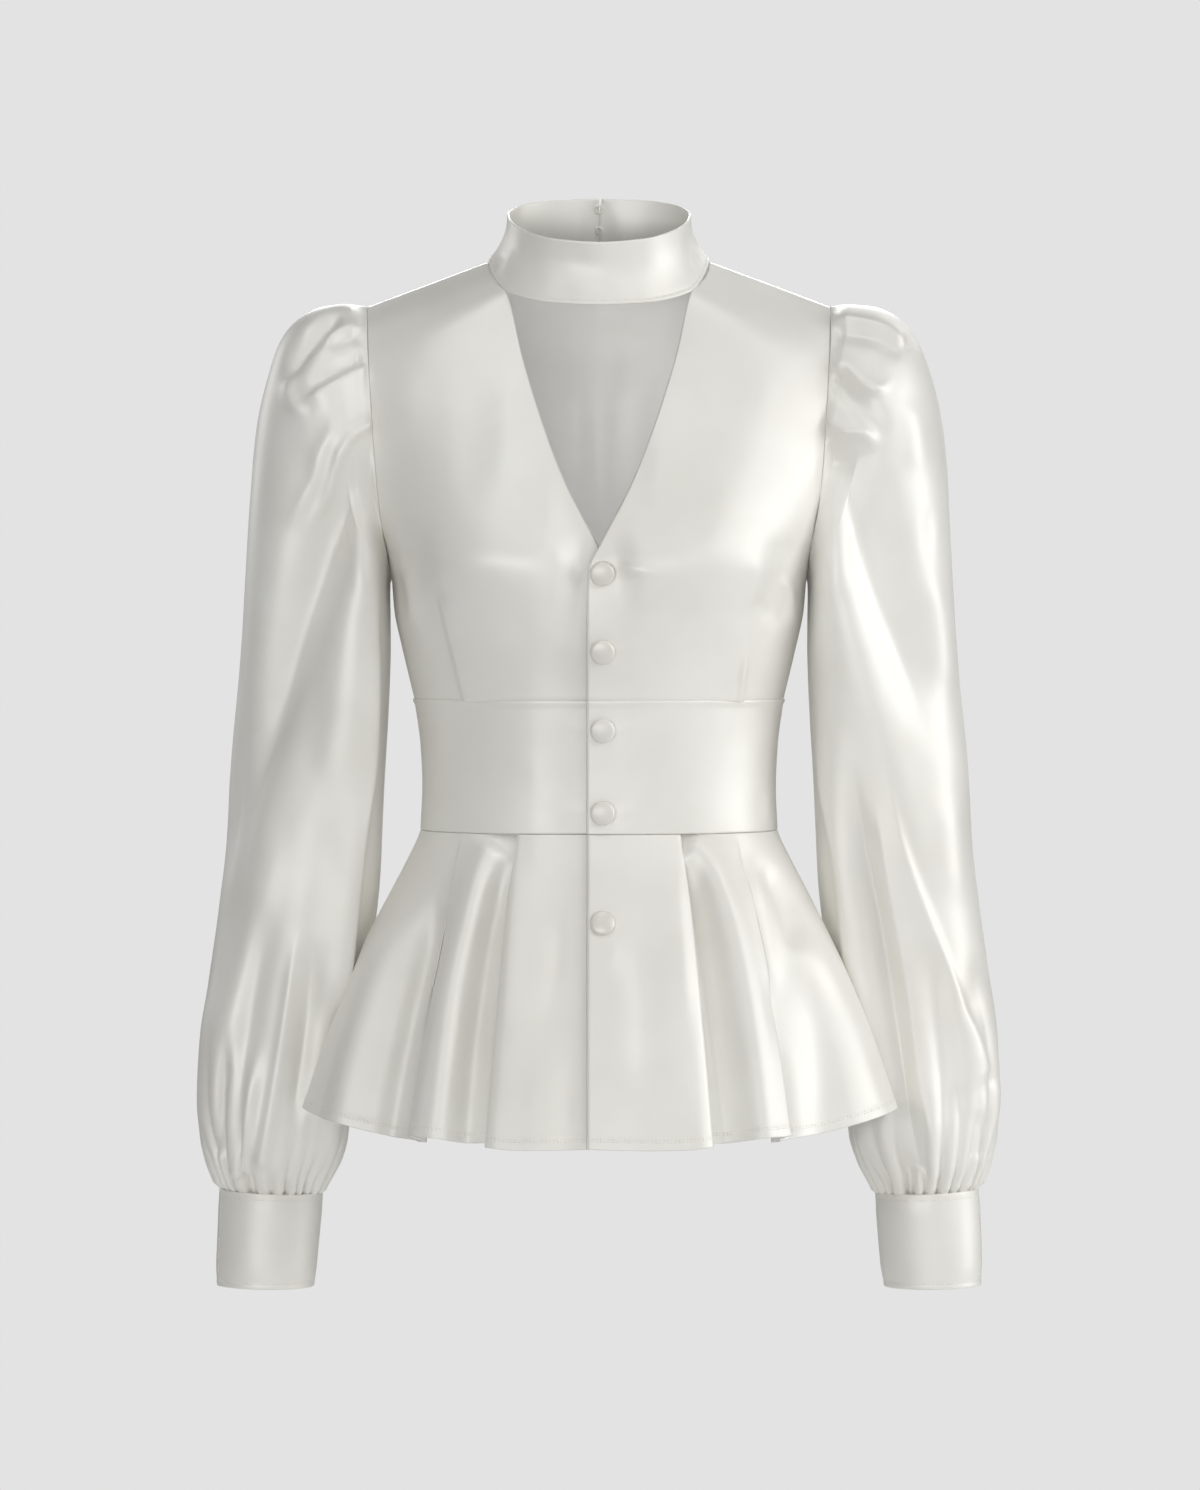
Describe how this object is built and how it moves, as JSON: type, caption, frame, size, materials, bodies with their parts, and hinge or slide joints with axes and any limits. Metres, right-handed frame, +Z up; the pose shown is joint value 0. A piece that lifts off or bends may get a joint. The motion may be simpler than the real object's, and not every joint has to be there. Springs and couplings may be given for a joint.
{
  "type": "peplum blouse",
  "caption": "Long-sleeved peplum blouse in satin with a stand collar, open V front, pleated sleeve heads, deep cuffs and covered buttons, worn shape.",
  "frame": {"origin": "midway between the two shoulders at the base of the neck, where the wearer's shoulders carry the blouse", "axes": "+Z up along the garment from hem to collar, -Y out of the front, +X to the wearer's left"},
  "size_m": [0.551, 0.2922, 0.7423],
  "materials": {
    "satin": "ivory satin, soft sheen",
    "covered_button": "ivory satin stretched over a domed button",
    "thread": "ivory thread loop"
  },
  "bodies": {
    "root": {"front_left": "satin", "front_right": "satin", "back": "satin", "midriff_front_left": "satin", "midriff_front_right": "satin", "midriff_back": "satin", "peplum_front_left": "satin", "peplum_front_right": "satin", "peplum_back": "satin", "collar": "satin", "sleeve_left": "satin", "sleeve_right": "satin", "cuff_left": "satin", "cuff_right": "satin", "button_1": "covered_button", "button_2": "covered_button", "button_3": "covered_button", "button_4": "covered_button", "button_5": "covered_button", "collar_fastener_upper": "thread", "collar_fastener_lower": "thread"}
  },
  "joints": []
}
